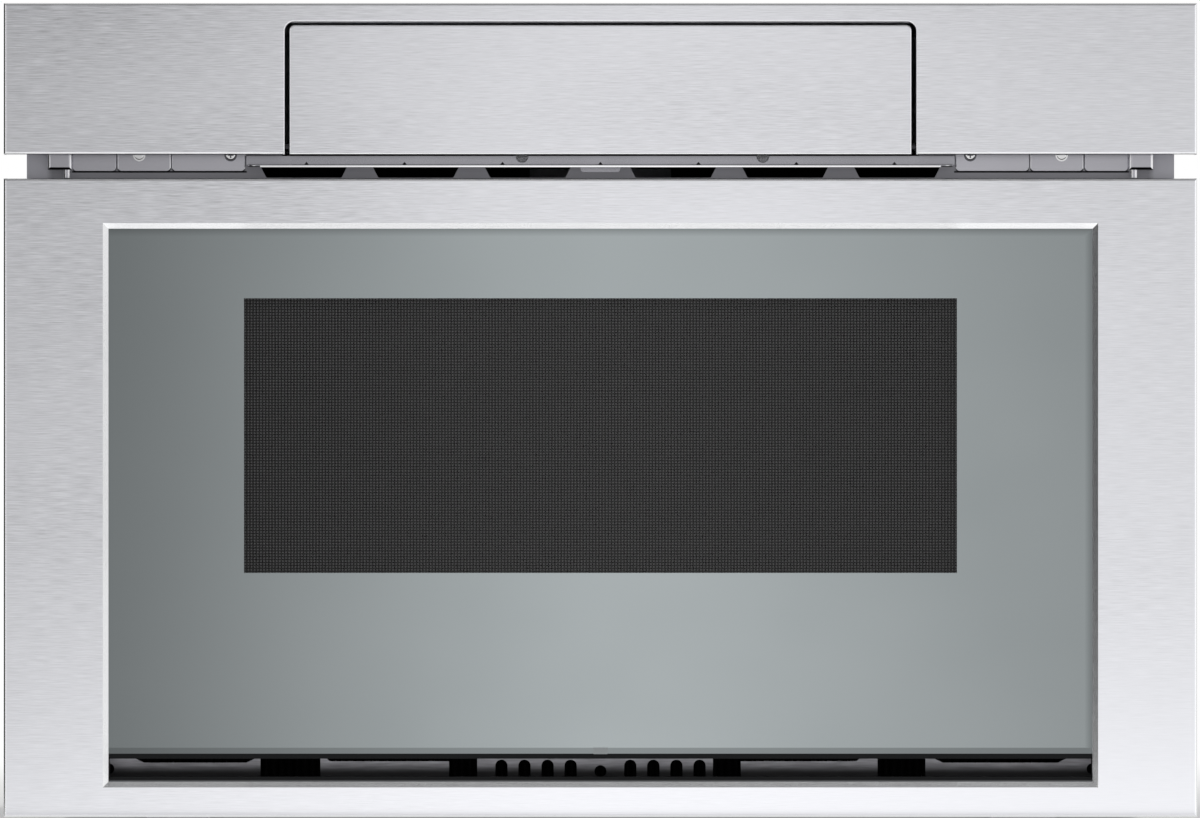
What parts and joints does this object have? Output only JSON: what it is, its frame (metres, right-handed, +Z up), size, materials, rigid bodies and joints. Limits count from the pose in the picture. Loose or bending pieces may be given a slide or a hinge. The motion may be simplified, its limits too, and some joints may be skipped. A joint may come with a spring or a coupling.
{
  "type": "built-in microwave drawer",
  "caption": "Built-in microwave drawer with a brushed steel front, mirror glass with a dark window, an air slot, a tilting control flap and a sliding tray on extension slides.",
  "frame": {"origin": "on the floor under the skid rails, at the middle of the width and of the depth", "axes": "+X to the viewer's right, +Y to the rear, +Z up; the drawer opens towards -Y"},
  "size_m": [0.7588, 0.594, 0.5195],
  "materials": {
    "stainless": "horizontal brushed",
    "zinc_steel": "zinc-coated sheet, satin",
    "dark_steel": "dark satin",
    "slide_steel": "bright zinc",
    "cavity_enamel": "smooth grey paint",
    "mirror_glass": "reflective grey",
    "screen_black": "perforated, black",
    "clear_glass": "clear",
    "black_glass": "black, printed",
    "black_plastic": "matt",
    "white_plastic": "matt",
    "clear_rubber": "clear soft",
    "ceramic": "white glass ceramic",
    "gear_plastic": "acetal",
    "motor_metal": "plated",
    "bright_aluminium": "bright",
    "copper_coil": "lacquered copper",
    "circuit_board": "green laminate"
  },
  "bodies": {
    "chassis": {"air_guide": "black_plastic", "base_pan": "zinc_steel", "capacitor": "bright_aluminium", "case_screws": "zinc_steel", "cavity_saddles": "zinc_steel", "cavity_shell": "cavity_enamel", "console_hinge_brackets": "zinc_steel", "console_shelf": "zinc_steel", "cord_gland": "black_plastic", "drive_motor": "motor_metal", "exhaust_duct": "black_plastic", "fan_motor": "motor_metal", "fan_shroud": "black_plastic", "fascia": "stainless", "fascia_blocks": "zinc_steel", "fascia_plates": "zinc_steel", "fascia_screws": "stainless", "feed_box": "zinc_steel", "feed_cover": "ceramic", "flap_bumpers": "clear_rubber", "front_plate": "zinc_steel", "intake_grille": "dark_steel", "interlock_switches": "black_plastic", "lamp": "white_plastic", "magnetron": "bright_aluminium", "outer_wrapper": "zinc_steel", "power_board": "circuit_board", "rail_outers": "slide_steel", "rail_supports": "zinc_steel", "rear_panel": "zinc_steel", "steam_deflector": "stainless", "stirrer_motor": "motor_metal", "transformer_core": "motor_metal", "transformer_windings": "copper_coil", "waveguide": "zinc_steel"},
    "drawer": {"drawer_front_frame": "stainless", "door_glass": "mirror_glass", "glass_tab": "stainless", "vent_bezel": "black_plastic", "door_core": "zinc_steel", "window_screen": "screen_black", "inner_window": "clear_glass", "door_rear_panel": "zinc_steel", "choke_ring": "black_plastic", "latch_hooks": "zinc_steel", "drawer_tray": "cavity_enamel", "ceramic_floor": "ceramic", "slide_arms": "zinc_steel", "rail_inners": "slide_steel", "drive_rack": "gear_plastic"},
    "rail_middle_left": {"rail_middle_left": "slide_steel"},
    "rail_middle_right": {"rail_middle_right": "slide_steel"},
    "pinion": {"drive_pinion": "gear_plastic"},
    "console": {"control_flap": "stainless", "console_housing": "black_plastic", "control_glass": "black_glass", "console_board": "circuit_board", "console_hinge_pins": "slide_steel"},
    "fan": {"fan_impeller": "white_plastic"},
    "stirrer": {"stirrer_antenna": "bright_aluminium"}
  },
  "joints": [
    {"name": "drawer_slide", "type": "slide", "parent": "chassis", "child": "drawer", "axis": [0, -1, 0], "range_m": [0, 0.38]},
    {"name": "rail_left_slide", "type": "slide", "parent": "chassis", "child": "rail_middle_left", "axis": [0, -1, 0], "range_m": [0, 0.19]},
    {"name": "rail_right_slide", "type": "slide", "parent": "chassis", "child": "rail_middle_right", "axis": [0, -1, 0], "range_m": [0, 0.19]},
    {"name": "pinion_spin", "type": "hinge", "parent": "chassis", "child": "pinion", "pos_m": [0.268, -0.24, 0.18987], "axis": [1, 0, 0], "range_deg": [-2, 1820]},
    {"name": "console_tilt", "type": "hinge", "parent": "chassis", "child": "console", "pos_m": [0, -0.292, 0.4282], "axis": [1, 0, 0], "range_deg": [0, 45]},
    {"name": "fan_spin", "type": "hinge", "parent": "chassis", "child": "fan", "pos_m": [-0.17, 0.24065, 0.1718], "axis": [1, 0, 0], "continuous": true},
    {"name": "stirrer_spin", "type": "hinge", "parent": "chassis", "child": "stirrer", "pos_m": [0, -0.02, 0.128], "axis": [0, 0, 1], "continuous": true}
  ],
  "couplings": [
    {"joint": "rail_left_slide", "follows": "drawer_slide", "ratio": 0.5},
    {"joint": "rail_right_slide", "follows": "drawer_slide", "ratio": 0.5},
    {"joint": "pinion_spin", "follows": "drawer_slide", "rad_per_m": 83.333}
  ]
}
